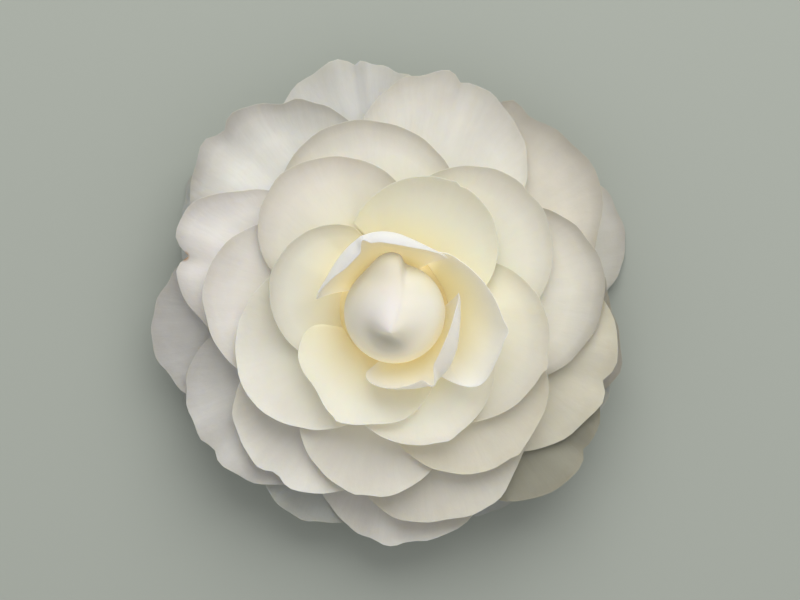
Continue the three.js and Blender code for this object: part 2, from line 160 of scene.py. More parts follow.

# The looks of petals: the tone of the whole petal and the shade of its rim. The tone is partly the petal's
# own, which differs from petal to petal, and partly painted light and shade: lighter where a petal lies in
# the light and darker where it lies in shade, most of all on the shaded petal. The shade of the rim is
# painted shade where the rim turns away from the light. Petals go by their number from the back, and those
# that aren't named are plain.
TONES_AND_PAINTED_LIGHT = {
    "plain": ((0.945, 0.945, 0.95), 1.0),
    "top": ((1.2, 1.21, 1.23), 0.85),
    "upper_left": ((1.15, 1.16, 1.19), 0.58),
    "upper_outer": ((1.11, 1.11, 1.11), 0.77),
    "upper": ((1.08, 1.08, 1.08), 0.63),
    "upper_right": ((0.99, 0.99, 0.975), 0.77),
    "upper_inner": ((0.925, 0.915, 0.92), 0.77),
    "near_top": ((0.895, 0.905, 0.91), 0.93),
    "near_left": ((0.875, 0.885, 0.935), 0.78),
    "far_right": ((1.17, 1.15, 1.12), 0.7),
    "right_outer": ((1.09, 1.075, 1.03), 0.6),
    "right": ((0.98, 0.975, 0.945), 0.56),
    "right_inner": ((0.925, 0.92, 0.905), 0.81),
    "lower_right": ((0.93, 0.915, 0.83), 0.86),
    "low_right": ((0.91, 0.895, 0.835), 0.87),
    "shaded": ((0.5, 0.5, 0.43), 0.85),
    "left": ((0.93, 0.945, 0.98), 0.77),
    "left_inner": ((0.965, 0.96, 0.99), 0.8),
    "nicked": ((1.09, 1.09, 1.14), 0.66),
    "rear": ((0.845, 0.9, 0.92), 0.85),
    "front": ((1.05, 1.055, 1.07), 0.95),
    "lower": ((0.92, 0.915, 0.89), 0.9),
    "low": ((0.91, 0.905, 0.9), 0.97),
    "low_inner": ((0.98, 0.995, 1.05), 0.93),
    "low_left": ((1.07, 1.065, 1.1), 0.8),
}
PETAL_LOOKS = {
    1: "rear", 2: "rear", 3: "far_right", 4: "rear", 5: "top", 6: "rear", 7: "rear", 8: "left",
    9: "front", 10: "right", 11: "shaded", 12: "right_outer", 13: "upper_left", 14: "left",
    15: "lower_right", 16: "upper_outer", 17: "nicked", 18: "lower", 20: "right", 21: "upper",
    22: "left_inner", 23: "low", 24: "upper_right", 25: "low_right", 26: "upper_inner",
    28: "right_inner", 29: "near_top", 30: "near_left", 31: "low_left", 32: "low_inner",
}

# Where the painted shade of a rim starts and deepens, along the blade and across it, and the share of it that
# has come where it deepens
RIM_SHADE_PLACES = (0.8, 0.93)
SIDE_SHADE_PLACES = (0.6, 0.84)
RIM_SHADE_SHARE = 0.42

# The brown nick on a rim at the left, as a place in the plan, and its size
NICK_PLACE = (-41.7, 9.1)
NICK_SIZE = 1.0
NICK_COLOR = (0.35, 0.18, 0.05)
NICKED_LOOK = "petal_nicked"

# Light comes through the petals round the heart, and here it is painted as a glow: emission whose colours go
# outwards from a place in the plan, to the front of the axis, as shares of the reach of the colours.
PAINTED_GLOW_PLACE = (2.0, -7.4)
PAINTED_GLOW_COLORS = [
    (0.15, (0.08, 0.062, 0.036)), (0.3, (0.07, 0.062, 0.046)), (0.42, (0.03, 0.028, 0.022)),
    (0.52, BLACK),
]

# How much light goes into the petals and how deep it gets there
PETAL_GLOW = 0.8
GLOW_DEPTH = 0.35
INNER_GLOW_DEPTH = 1.2

# Veins and wrinkles of a petal: how often each changes across and along it, how far they wander and
# how deep they are. They grow outwards from a share of the reach of the colours.
VEINS = (60.0, 2.5)
WRINKLES = (22.0, 4.5)
WANDER = 0.06
WRINKLE_DEPTH = 0.14
GROWTH_START = 0.3
GROWTH_RATE = 1.7
INNER_GROWTH = 0.2

# The scales of fine grain and of soft clouds, in changes to a metre
PETAL_GRAIN = 900.0
PETAL_CLOUDS = 150.0
HEART_GRAIN = 700.0
HEART_CLOUDS = 160.0

# The rim of a petal ripples, more so on the outer ones, and a pleat runs inwards from each narrow
# notch. Waves cross the whole blade. Ripples and waves have random sizes, as shares of the full one.
SEED = 7
RANDOM_SHARES = (0.6, 1.0)
WAVY_POWER = 3
RIPPLE = 0.2
RIPPLE_COUNTS = (5, 11, 17)
RIPPLE_POWER = 8
PLEAT = 1.4
PLEATED_NOTCH = 0.06
PLEAT_WIDTH = 3.0
PLEAT_POWER = 4
WAVE_SIZES = (0.35, 0.28, 0.2)
WAVE_COUNTS = (1.3, 2.6, 5.5)
WAVE_POWER = 5

# A petal whose lobe bends up: where across the blade, how wide and how high
BENDS = {13: (-0.22, 0.2, 2.6)}
BEND_POWER = 6

# The right sides of two petals lie down on their neighbours and are cut rounder: how deep and how much
TUCKED_PETALS = {30: (0.8, 0.3), 32: (1.2, 0.38)}
TUCK_POWER = 3
CUT_POWER = 6

# The three cupped petals round the heart. Each has its middle azimuth, half its span and its root
# as radius and height. How fast it opens and rises and how round its corner is hold for its right
# and its left side. Then come, at even steps from the right side to the left one, the radius of
# its rim, how far the margin rolls in from it, and the height of the margin. Its tip has a place
# across the blade, a point that adds to the rim's radius and a notch that takes from the roll.
# The glow is painted light, an emission for the light that comes through it deep down and near the rim.
CUP_ROWS = 64
CUP_COLUMNS = 110
CUP_ROOT_FAN = 0.5
CURL_START = 0.7
CORNER_POWER = 10
CUP_TIP_WIDTH = 0.06
CUP_TIP_POWER = 8
CUPS = [
    dict(azimuth=2, span=61, root=(8.3, 12.6), opening=(1.2, 2), rising=(1.3, 1.1),
         corner=(0.25, 0.25),
         rim=(17, 22.3, 22.3, 21.9, 19.9, 17.8, 16, 14.6, 12.6),
         roll=(0, 0, 0, 0, 0, 0, 0, 0, 0),
         height=(20.5, 24.5, 25.8, 26.3, 26.5, 26.4, 25.8, 22.5, 15),
         tip=(-0.22, 0.8, 0), glow=((0.1, 0.084, 0.052), (0.03, 0.028, 0.024))),
    dict(azimuth=-52, span=66, root=(7.9, 13.4), opening=(1.6, 1.6), rising=(1, 1),
         corner=(0.4, 0.12),
         rim=(15.6, 15.9, 16.4, 17.1, 16.6, 15.1, 13.6, 12.95, 13.1),
         roll=(0, 0.1, 0.9, 2.4, 3.8, 3.5, 2.3, 1.4, 0.7),
         height=(22, 24.5, 26.2, 27.5, 28.5, 29, 28.6, 27.5, 26),
         tip=(-0.18, 0.3, 2.4), glow=((0.07, 0.06, 0.038), (0.01, 0.008, 0.006))),
    dict(azimuth=109, span=65, root=(7.6, 13.8), opening=(1.9, 1.9), rising=(1, 1),
         corner=(0.05, 0.05),
         rim=(14.2, 13.7, 14.1, 15.2, 15.9, 15.7, 15.2, 15.1, 16),
         roll=(0.1, 0.8, 1.9, 2.7, 2.5, 3.1, 2.7, 1.1, 0.2),
         height=(25.5, 28, 29.8, 30.6, 30.6, 30.2, 29.2, 27.5, 24.5),
         tip=(0.115, 0, 1.6), glow=((0.24, 0.2, 0.135), (0.025, 0.025, 0.025))),
]

# The receptacle's outline as radius and height, from the middle of its underside up to its hollow top
RECEPTACLE_SIDES = 64
RECEPTACLE = [
    (0, 0), (7, 0), (10.5, 2.2), (11.8, 6), (12, 10), (11, 13.2), (9.3, 14.8),
    (8, 14.9), (5, 12.55), (2.5, 11.6), (0, 11.3),
]

# The closed heart: a ball whose pole is a beak that leans to the front. One sheet wraps it from
# the left, ends in the beak and has its free edge down the middle. A place on the ball is an angle
# down from the beak and an angle round it, and both are in degrees here. An angle round the beak
# that is counted from the sheet's free edge is in radians.
HEART_PLACE = (-0.2, -1.0, 22.0)
HEART_RADIUS = 10.1
HEART_LEAN = math.radians(18.5)
HEART_TILT = math.radians(-4.5)
HEART_SIDES = 360
HEART_RINGS = 200
HEART_GLOW_DEPTH = 1.6
SHEET_EDGE = (55, 26)
SHEET_STEP = 0.14
SHEET_SOFTNESS = 0.045
SHEET_SPAN = 2.2
SHEET_FADE = 0.5
SHEET_CREST = 3.0
CREST_DOWN = 82
CREST_LENGTH = 20
CREST_APART = 0.22
CREST_WIDTH = 0.4
CREST_END = -0.3
BEAK_LENGTH = 2.0
BEAK_WIDTHS = (6, 22)
BEAK_POWER = 1.4
DENT_DEPTH = 1.6
DENT_PLACE = 23.5
DENT_WIDTH = 15
DENT_TURN = -113
DENT_SPAN = 58
# The dent is darkened with painted shade: how much of it, and its colour
DENT_SHADE_SHARE = 0.45
DENT_PAINTED_SHADE = (0.55, 0.5, 0.36)

# The heart's colours go upwards from one height above the receptacle's underside to another.
HEART_COLOR_FOOT = 12.0
HEART_COLOR_TOP = 34.0

# Sepals, the cup that carries them, and the stalk, below the receptacle's underside
SEPALS = 6
SEPAL_ROWS = 20
SEPAL_COLUMNS = 24
SEPAL_SPAN = 38
SEPAL_STEP = 0.9
SEPAL_FALL = 0.3
SEPAL_MIDRIB = [(3, -1.6), (6, -1.3), (9, 0.1), (11.4, 1.2)]
CALYX_SIDES = 48
CALYX = [(0, -2.8), (3.6, -2.8), (5.6, -1.6), (5.8, -0.4), (0, -0.4)]
STALK_SIDES = 24
STALK_RADIUS = 2.1
STALK_TOP = -3.1
STALK_CUT = -5

# Floor and light, with places and sizes in metres
FLOOR_SIZE = 1.5
FLOOR_COLOR = (0.42, 0.45, 0.41, 1)
SKY_COLOR = (1.0, 1.0, 0.985, 1)
SKY_STRENGTH = 0.5
KEY_PLACE = (0.1, 0.55, 0.52)
KEY_AIM = (0, 0, 0.02)
KEY_SIZE = 0.9
KEY_POWER = 4.6
KEY_COLOR = (1, 0.995, 0.955)

# The sockets of a Mix node that hold its share, its two colours and its result
MIX_SHARE = 0
MIX_COLORS = (6, 7)
MIX_RESULT = 2


def mix(pair, share):
    return pair[0] + (pair[1] - pair[0]) * share


# Meshes

def make_mesh(name, points, faces, uvs=None):
    """A mesh object from points in millimetres about the floral axis, placed in the frame in metres."""
    placed = (np.asarray(points) + (AXIS_X, AXIS_Y, RECEPTACLE_BASE)) * MM
    mesh = bpy.data.meshes.new(name)
    mesh.from_pydata(placed.tolist(), [], faces)
    if uvs is not None:
        layer = mesh.uv_layers.new(name="blade")
        loops = np.empty(len(mesh.loops), dtype=np.int32)
        mesh.loops.foreach_get("vertex_index", loops)
        layer.data.foreach_set("uv", np.asarray(uvs, dtype=np.float32)[loops].ravel())
    mesh.polygons.foreach_set("use_smooth", [True] * len(mesh.polygons))
    mesh.update()
    piece = bpy.data.objects.new(name, mesh)
    bpy.context.scene.collection.objects.link(piece)
    return piece


def blade(name, surface, rows, columns):
    """A closed thin blade. surface(t, b) is its upper face, from root to tip and from side to side."""
    t, b = np.meshgrid(np.linspace(0, 1, rows + 1), np.linspace(-1, 1, columns + 1), indexing="ij")
    upper = surface(t, b)
    along = np.gradient(upper, axis=0)
    across = np.gradient(upper, axis=1)
    normal = np.cross(along, across)
    normal /= np.linalg.norm(normal, axis=2, keepdims=True)
    lower = upper - normal * thickness(t, b)[..., None]
    count = (rows + 1) * (columns + 1)
    grid = np.arange(count).reshape(rows + 1, columns + 1)
    quads = np.stack([grid[:-1, :-1], grid[1:, :-1], grid[1:, 1:], grid[:-1, 1:]], axis=-1).reshape(-1, 4)
    faces = quads.tolist() + (quads[:, ::-1] + count).tolist()
    rim = grid[:, 0].tolist() + grid[-1, 1:].tolist() + grid[-2::-1, -1].tolist() + grid[0, -2:0:-1].tolist()
    for here, there in zip(rim, rim[1:] + rim[:1]):
        faces.append([here, here + count, there + count, there])
    points = np.concatenate([upper.reshape(-1, 3), lower.reshape(-1, 3)])
    uv = np.stack([b / 2 + 0.5, t], axis=-1).reshape(-1, 2)
    piece = make_mesh(name, points, faces, np.concatenate([uv, uv]))
    sharpen(piece.data, rim, count)
    return piece


def sharpen(mesh, rim, count):
    """Keeps the faces of a blade apart from its thin wall in the shading."""
    on_rim = set(rim)
    for edge in mesh.edges:
        first, last = edge.vertices
        if first % count in on_rim and last % count in on_rim and abs(last - first) != count:
            edge.use_edge_sharp = True


def thickness(t, b):
    edge = np.maximum(t ** THIN_POWER, np.abs(b) ** THIN_POWER)
    return BODY_THICKNESS + (RIM_THICKNESS - BODY_THICKNESS) * edge


def turned(name, outline, sides):
    """A solid of revolution about the floral axis, from an outline that starts and ends on it."""
    angles = np.arange(sides) * 2 * math.pi / sides
    points = [(0, 0, outline[0][1])]
    for radius, height in outline[1:-1]:
        points += [(radius * math.cos(a), radius * math.sin(a), height) for a in angles]
    points.append((0, 0, outline[-1][1]))
    rings = len(outline) - 2
    faces = []
    for j in range(sides):
        k = (j + 1) % sides
        faces.append([0, 1 + k, 1 + j])
        for i in range(rings - 1):
            low = 1 + i * sides
            faces.append([low + j, low + k, low + sides + k, low + sides + j])
        last = 1 + (rings - 1) * sides
        faces.append([last + j, last + k, len(points) - 1])
    return make_mesh(name, points, faces)


def spline(points, share):
    """A curve through the points, evenly in their number."""
    points = np.asarray(points, dtype=float)
    last = len(points) - 1
    place = np.clip(share, 0, 1) * last
    low = np.minimum(np.floor(place).astype(int), last)
    w = (place - low)[..., None]
    if points.ndim == 1:
        w = w[..., 0]
    p0 = points[np.maximum(low - 1, 0)]
    p1 = points[low]
    p2 = points[np.minimum(low + 1, last)]
    p3 = points[np.minimum(low + 2, last)]
    v0 = (p2 - p0) / 2
    v1 = (p3 - p1) / 2
    return (2 * p1 - 2 * p2 + v0 + v1) * w ** 3 + (-3 * p1 + 3 * p2 - 2 * v0 - v1) * w ** 2 + v0 * w + p1


# Petals of the pile

def pile_height(layers, rims, radius, azimuth):
    """Height of a petal of the pile, by its layers and rims, over a place in the plan."""
    layer = at_azimuth(layers, azimuth)
    share = layer / LAST_LAYER
    out = (radius - DISH_START) / (mix(DISH_REACH, share) - DISH_START)
    rise = mix(DISH_RISE, share) * (1 - np.exp((DISH_START - radius) / mix(RISE_LENGTH, share)))
    fall = mix(DISH_FALL, share) * out ** 2
    curl = mix(RIM_CURL, share) * (radius / at_azimuth(rims, azimuth)) ** CURL_POWER
    fade = (radius / DISH_REACH[0]) ** SWELL_POWER
    swell = SWELL * fade * np.sin(SWELLS_ROUND * azimuth + SWELL_TURN * layer)
    return mix(DISH_HEIGHT, share) + rise - fall + curl + swell


def petal_plan(petal, t, b):
    """A place on the petal, along its midrib and across it, as seen from above."""
    _, reach, left, right, lobes = petal
    roundness = np.where(b > 0, left, right) * reach
    centre = reach - roundness - PETAL_ROOT
    tangent = np.arcsin(np.minimum(1, roundness / centre))
    widest = np.where(centre > roundness, np.minimum(WIDEST_FAN, tangent), WIDEST_FAN)
    turn = widest * np.sin(np.minimum(np.abs(b), 1) * math.pi / 2)
    inside = np.maximum(0, roundness ** 2 - (centre * np.sin(turn)) ** 2)
    length = centre * np.cos(turn) + np.sqrt(inside)
    for place, width, height in lobes:
        length = length + height * np.exp(-(((b - place) / width) ** 2))
    run = ROOT_LENGTH + (length - ROOT_LENGTH) * t
    return PETAL_ROOT + run * np.cos(turn), np.sign(b) * run * np.sin(turn)


def in_place(petal, p, q):
    turn = math.radians(petal[0])
    return p * math.cos(turn) - q * math.sin(turn), p * math.sin(turn) + q * math.cos(turn)


def rim_radii(petal):
    """How far the petal reaches from the axis, azimuth by azimuth, and 0 where it isn't."""
    t, b = np.meshgrid(np.arange(1, SPAN_SAMPLES + 1) / SPAN_SAMPLES,
                       np.arange(-SPAN_SAMPLES, SPAN_SAMPLES + 1) / SPAN_SAMPLES, indexing="ij")
    x, y = in_place(petal, *petal_plan(petal, t, b))
    radius = np.hypot(x, y)
    far = radius > HIDDEN_RADIUS
    cells = np.round(np.arctan2(y, x)[far] / (2 * math.pi) * AZIMUTHS).astype(int) % AZIMUTHS
    radii = np.zeros(AZIMUTHS)
    np.maximum.at(radii, cells, radius[far])
    return radii


def evened(values):
    """Raised to the highest neighbour and then averaged, so that it never falls short."""
    shifts = range(-EVEN_OUT, EVEN_OUT + 1)
    raised = np.max([np.roll(values, s) for s in shifts], axis=0)
    return np.mean([np.roll(raised, s) for s in shifts], axis=0)


def stack_petals():
    """The layers and the rims of each petal. It lies one layer above the highest petal that it
    covers, and curls up towards the farthest rim among its own and those of the petals before it."""
    radii = [rim_radii(petal) for petal in PETALS]
    layers = []
    top = np.full(AZIMUTHS, -1.0)
    for radius in radii:
        layers.append(evened(top) + 1)
        top = np.where(radius > 0, layers[-1], top)
    rims = []
    farthest = np.zeros(AZIMUTHS)
    for radius in reversed(radii):
        farthest = np.maximum(farthest, radius)
        rims.append(evened(farthest))
    return list(zip(PETALS, layers, reversed(rims)))


def at_azimuth(values, azimuth):
    place = (azimuth / (2 * math.pi) + 1) * AZIMUTHS
    low = np.floor(place).astype(int)
    share = place - low
    return values[low % AZIMUTHS] * (1 - share) + values[(low + 1) % AZIMUTHS] * share


def pile_surface(number, petal, layers, rims, rng):
    """The upper face of one petal of the pile, which are numbered from the back."""
    reach = petal[1]
    wavy = (reach / DISH_REACH[0]) ** WAVY_POWER
    waves = sines(rng, WAVE_SIZES, WAVE_COUNTS)
    ripples = sines(rng, [RIPPLE] * len(RIPPLE_COUNTS), RIPPLE_COUNTS)
    azimuth = math.radians(petal[0])
    droop = 0.0
    uneven = wavy
    if number <= RESTING_PETALS:
        droop = pile_height(layers, rims, reach, np.array(azimuth)) + RECEPTACLE_BASE - RESTING_TIP
        uneven = 0.0
    tuck, cut = TUCKED_PETALS.get(number, (0, 0))

    def surface(t, b):
        right = np.maximum(0, -b)
        p, q = petal_plan(petal, t * (1 - cut * right ** CUT_POWER), b)
        stretch = 1 + wavy * ripples(b) * t ** RIPPLE_POWER / reach
        x, y = in_place(petal, p * stretch, q * stretch)
        height = pile_height(layers, rims, np.hypot(x, y), np.arctan2(y, x))
        height = height - CROWN * t * b * b - droop * np.clip(p / reach, 0, 1) ** DROOP_POWER
        height = height + uneven * waves(b) * t ** WAVE_POWER
        for place, width, lobe in petal[4]:
            if lobe < 0 and width <= PLEATED_NOTCH:
                off = (b - place) / (PLEAT_WIDTH * width)
                crease = off ** 2 * np.exp(1 - off ** 2)
                height = height + PLEAT * min(-lobe, 1) * uneven * crease * t ** PLEAT_POWER
        height = height - tuck * right ** TUCK_POWER
        if number in BENDS:
            place, width, bend = BENDS[number]
            height = height + bend * np.exp(-(((b - place) / width) ** 2)) * t ** BEND_POWER
        if number <= RESTING_PETALS:
            height = laid_down(height)
        return np.stack([x, y, height], axis=-1)

    return surface


def laid_down(height):
    """The height of a petal that lies down softly where it would reach below the floor."""
    lowest = RESTING_TIP - RECEPTACLE_BASE
    return lowest + RESTING_SOFTNESS * np.logaddexp(0, (height - lowest) / RESTING_SOFTNESS)


def sines(rng, sizes, counts):
    """A sum of sines across a blade, of about these sizes and numbers of waves, with random phases."""
    phases = rng.uniform(0, 2 * math.pi, len(sizes))
    shares = rng.uniform(*RANDOM_SHARES, len(sizes))
    terms = list(zip(shares * np.asarray(sizes), counts, phases))
    return lambda b: sum(size * np.sin(count * math.pi * b + phase) for size, count, phase in terms)


def cup_surface(cup):
    tip_place, tip_point, tip_notch = cup["tip"]
    root_radius, root_height = cup["root"]

    def surface(t, b):
        share = (b + 1) / 2
        tip = np.exp(-(((b - tip_place) / CUP_TIP_WIDTH) ** 2))
        rim = spline(cup["rim"], share) + tip_point * tip * t ** CUP_TIP_POWER
        roll = np.maximum(0, spline(cup["roll"], share) - tip_notch * tip)
        height = spline(cup["height"], share)
        along = t * (1 - mix(cup["corner"], share) * np.abs(b) ** CORNER_POWER)
        curl = np.maximum(0, (along - CURL_START) / (1 - CURL_START)) ** 2
        opened = 1 - (1 - along) ** mix(cup["opening"], share)
        risen = along ** mix(cup["rising"], share)
        radius = root_radius + (rim - root_radius) * opened - roll * curl
        z = root_height + (height - root_height) * risen
        fan = np.sin((CUP_ROOT_FAN + (1 - CUP_ROOT_FAN) * along) * math.pi / 2)
        turn = np.radians(cup["azimuth"] + cup["span"] * b * fan)
        return np.stack([radius * np.cos(turn), radius * np.sin(turn), z], axis=-1)

    return surface


def sepal_surface(azimuth, lift):
    midrib = [(radius, height - lift) for radius, height in SEPAL_MIDRIB]

    def surface(t, b):
        along = t * (1 - SEPAL_FALL * b * b)
        profile = spline(midrib, along)
        radius, height = profile[..., 0], profile[..., 1]
        turn = np.radians(azimuth + SEPAL_SPAN * b * np.sin((1 + along) * math.pi / 4))
        return np.stack([radius * np.cos(turn), radius * np.sin(turn), height], axis=-1)

    return surface


# Heart

def wrapped(angle):
    return (angle + math.pi) % (2 * math.pi) - math.pi


def step(distance, width):
    return 0.5 + 0.5 * np.tanh(distance / width)


def from_edge(down, turn):
    """The angle round the beak from the sheet's free edge."""
    start, swing = SHEET_EDGE
    return wrapped(turn - np.radians(start + swing * np.sin(down)))


def on_sheet(down, turn):
    """1 on the sheet, 0 off it."""
    apart = from_edge(down, turn)
    return step(apart * np.sin(down), SHEET_SOFTNESS) * step(SHEET_SPAN - apart, SHEET_FADE)


def crested(down, turn):
    """The share of the crest, where the sheet stands off the ball behind the beak."""
    apart = from_edge(down, turn)
    along = ((np.degrees(down) - CREST_DOWN) / CREST_LENGTH) ** 2
    across = ((apart - CREST_APART) / CREST_WIDTH) ** 2
    return np.exp(-along - across) * (apart > CREST_END)


def dented(down, turn):
    """The share of the dent under the beak."""
    below = np.exp(-((wrapped(turn - math.radians(DENT_TURN)) / math.radians(DENT_SPAN)) ** 2))
    return below * np.exp(-(((np.degrees(down) - DENT_PLACE) / DENT_WIDTH) ** 2))


def heart_radius(down, turn):
    """Distance of the heart's surface from its middle, by the angle from the beak and round it."""
    back = (1 + np.sin(turn)) / 2
    width = np.radians(mix(BEAK_WIDTHS, back))
    beak = BEAK_LENGTH * np.exp(-((down / width) ** BEAK_POWER))
    dent = DENT_DEPTH * dented(down, turn)
    sheet = on_sheet(down, turn)
    crest = SHEET_CREST * crested(down, turn)
    return HEART_RADIUS - SHEET_STEP + SHEET_STEP * sheet + beak - dent + crest * sheet


def rotated(first, second, angle):
    """Two coordinates turned from the second axis towards the first."""
    cos, sin = math.cos(angle), math.sin(angle)
    return first * cos + second * sin, second * cos - first * sin


def heart_mesh():
    """The heart, with the shares of the sheet and of the dent as its UVs."""
    down, turn = np.meshgrid(np.linspace(0, math.pi, HEART_RINGS + 1)[1:-1],
                             np.arange(HEART_SIDES) * 2 * math.pi / HEART_SIDES, indexing="ij")

    def place(down, turn):
        r = heart_radius(down, turn)
        x = r * np.sin(down) * np.cos(turn)
        y = r * np.sin(down) * np.sin(turn)
        z = r * np.cos(down)
        x, z = rotated(x, z, HEART_TILT)
        y, z = rotated(y, z, -HEART_LEAN)
        return np.stack([x, y, z], axis=-1) + HEART_PLACE

    body = place(down, turn).reshape(-1, 3)
    ends = [place(np.array(a), np.array(0.0)) for a in (0.0, math.pi)]
    points = np.concatenate([[ends[0]], body, [ends[1]]])
    sheet = np.concatenate([[1.0], on_sheet(down, turn).ravel(), [0.0]])
    dent = np.concatenate([[0.0], dented(down, turn).ravel(), [0.0]])
    grid = 1 + np.arange(len(body)).reshape(HEART_RINGS - 1, HEART_SIDES)
    after = np.roll(grid, -1, axis=1)
    quads = np.stack([grid[:-1], grid[1:], after[1:], after[:-1]], axis=-1).reshape(-1, 4)
    faces = quads.tolist()
    faces += [[0, int(a), int(b)] for a, b in zip(grid[0], after[0])]
    faces += [[len(points) - 1, int(b), int(a)] for a, b in zip(grid[-1], after[-1])]
    return make_mesh("heart", points, faces, np.stack([sheet, dent], axis=-1))


# Materials

class Shader:
    """A Principled material with helpers that add and link its nodes."""

    def __init__(self, name, **values):
        self.material = bpy.data.materials.new(name)
        self.material.use_nodes = True
        self.tree = self.material.node_tree
        self.main = self.tree.nodes["Principled BSDF"]
        for socket, value in values.items():
            self.main.inputs[socket.replace("_", " ")].default_value = value

    def node(self, kind, **settings):
        node = self.tree.nodes.new("ShaderNode" + kind)
        for name, value in settings.items():
            setattr(node, name, value)
        return node

    def link(self, source, target):
        self.tree.links.new(source, target)

    def math(self, operation, first, second=None, clamp=False):
        node = self.node("Math", operation=operation, use_clamp=clamp)
        for socket, value in zip(node.inputs, (first, second)):
            if value is None:
                continue
            if isinstance(value, (int, float)):
                socket.default_value = value
            else:
                self.link(value, socket)
        return node.outputs[0]

    def ramp(self, value, stops):
        node = self.node("ValToRGB")
        elements = node.color_ramp.elements
        while len(elements) < len(stops):
            elements.new(0.5)
        for element, (position, color) in zip(elements, stops):
            element.position = position
            element.color = (*color, 1)
        self.link(value, node.inputs["Fac"])
        return node.outputs["Color"]

    def mixed(self, share, first, second, blend="MIX"):
        node = self.node("Mix", data_type="RGBA", blend_type=blend)
        if isinstance(share, (int, float)):
            node.inputs[MIX_SHARE].default_value = share
        else:
            self.link(share, node.inputs[MIX_SHARE])
        for socket, value in zip(MIX_COLORS, (first, second)):
            if isinstance(value, tuple):
                node.inputs[socket].default_value = (*value, 1)
            else:
                self.link(value, node.inputs[socket])
        return node.outputs[MIX_RESULT]

    def noise(self, vector, scale, detail=3.0, roughness=0.5):
        node = self.node("TexNoise")
        node.inputs["Scale"].default_value = scale
        node.inputs["Detail"].default_value = detail
        node.inputs["Roughness"].default_value = roughness
        self.link(vector, node.inputs["Vector"])
        return node.outputs["Fac"]

    def scaled(self, vector, scale):
        node = self.node("Mapping")
        node.inputs["Scale"].default_value = scale
        self.link(vector, node.inputs["Vector"])
        return node.outputs["Vector"]

    def bump(self, height, strength, distance):
        node = self.node("Bump")
        node.inputs["Strength"].default_value = strength
        node.inputs["Distance"].default_value = distance
        self.link(height, node.inputs["Height"])
        self.link(node.outputs["Normal"], self.main.inputs["Normal"])

    def place(self):
        return self.node("TexCoord").outputs["Object"]

    def blade(self):
        """The place across a blade, 0 to 1 from its right side, and along it, 0 to 1 from its root."""
        return self.node("UVMap", uv_map="blade").outputs["UV"]

    def parts(self, vector):
        """The X, Y and Z of a vector."""
        split = self.node("SeparateXYZ")
        self.link(vector, split.inputs[0])
        return tuple(split.outputs)

    def distance(self, from_x, from_y):
        """Distance in the plan from a place in millimetres."""
        x, y, _ = self.parts(self.place())
        x = self.math("SUBTRACT", x, from_x * MM)
        y = self.math("SUBTRACT", y, from_y * MM)
        squares = self.math("ADD", self.math("MULTIPLY", x, x), self.math("MULTIPLY", y, y))
        return self.math("DIVIDE", self.math("SQRT", squares), MM)

    def height(self):
        """Height above the receptacle's underside in millimetres."""
        _, _, z = self.parts(self.place())
        return self.math("SUBTRACT", self.math("DIVIDE", z, MM), RECEPTACLE_BASE)

    def glow(self, color):
        """Adds a painted glow, an emission for the light that comes through the petals into the throat."""
        self.link(color, self.main.inputs["Emission Color"])
        self.main.inputs["Emission Strength"].default_value = 1.0


def veined(shader, color, growth):
    """Faint veins and wrinkles that fan out from the root of a blade, by this share of their full size."""
    fan = shader.blade()
    wander = shader.noise(shader.scaled(fan, (3.0, 2.0, 1.0)), 1.0, 2.0)
    across, along, _ = shader.parts(fan)
    across = shader.math("ADD", across, shader.math("MULTIPLY", wander, WANDER))
    heights = []
    for changes_across, changes_along in (VEINS, WRINKLES):
        combine = shader.node("CombineXYZ")
        shader.link(shader.math("MULTIPLY", across, changes_across), combine.inputs["X"])
        shader.link(shader.math("MULTIPLY", along, changes_along), combine.inputs["Y"])
        heights.append(shader.noise(combine.outputs[0], 1.0, 4.0, 0.55))
    veins, wrinkles = heights
    grain = shader.noise(shader.place(), PETAL_GRAIN, 2.0)
    cloud = shader.noise(shader.place(), PETAL_CLOUDS, 3.0)
    streaks = shader.ramp(veins, [(0.3, (0.965, 0.962, 0.955)), (0.62, WHITE)])
    clouds = shader.ramp(cloud, [(0.35, (0.95, 0.947, 0.94)), (0.62, WHITE)])
    shade = shader.mixed(growth, WHITE, shader.mixed(1.0, streaks, clouds, "MULTIPLY"))
    rough = shader.math("ADD", veins, shader.math("MULTIPLY", wrinkles, 2.0))
    rough = shader.math("ADD", rough, shader.math("MULTIPLY", grain, 0.25))
    rough = shader.math("MULTIPLY", rough, growth)
    shader.bump(rough, 0.5, WRINKLE_DEPTH * MM)
    return shader.mixed(1.0, color, shade, "MULTIPLY")


def painted_rim_shade(shader, color, rim):
    """The colour of a blade, with painted shade along its free edge."""
    across, along, _ = shader.parts(shader.blade())
    across = shader.math("SUBTRACT", shader.math("MULTIPLY", across, 2.0), 1.0)
    off_middle = shader.math("ABSOLUTE", across)
    light = 1 - RIM_SHADE_SHARE * (1 - rim)
    shades = []
    for value, (start, deep) in ((along, RIM_SHADE_PLACES), (off_middle, SIDE_SHADE_PLACES)):
        stops = [(start, WHITE), (deep, (light,) * 3), (1.0, (rim,) * 3)]
        shades.append(shader.ramp(value, stops))
    return shader.mixed(1.0, color, shader.mixed(1.0, *shades, "DARKEN"), "MULTIPLY")


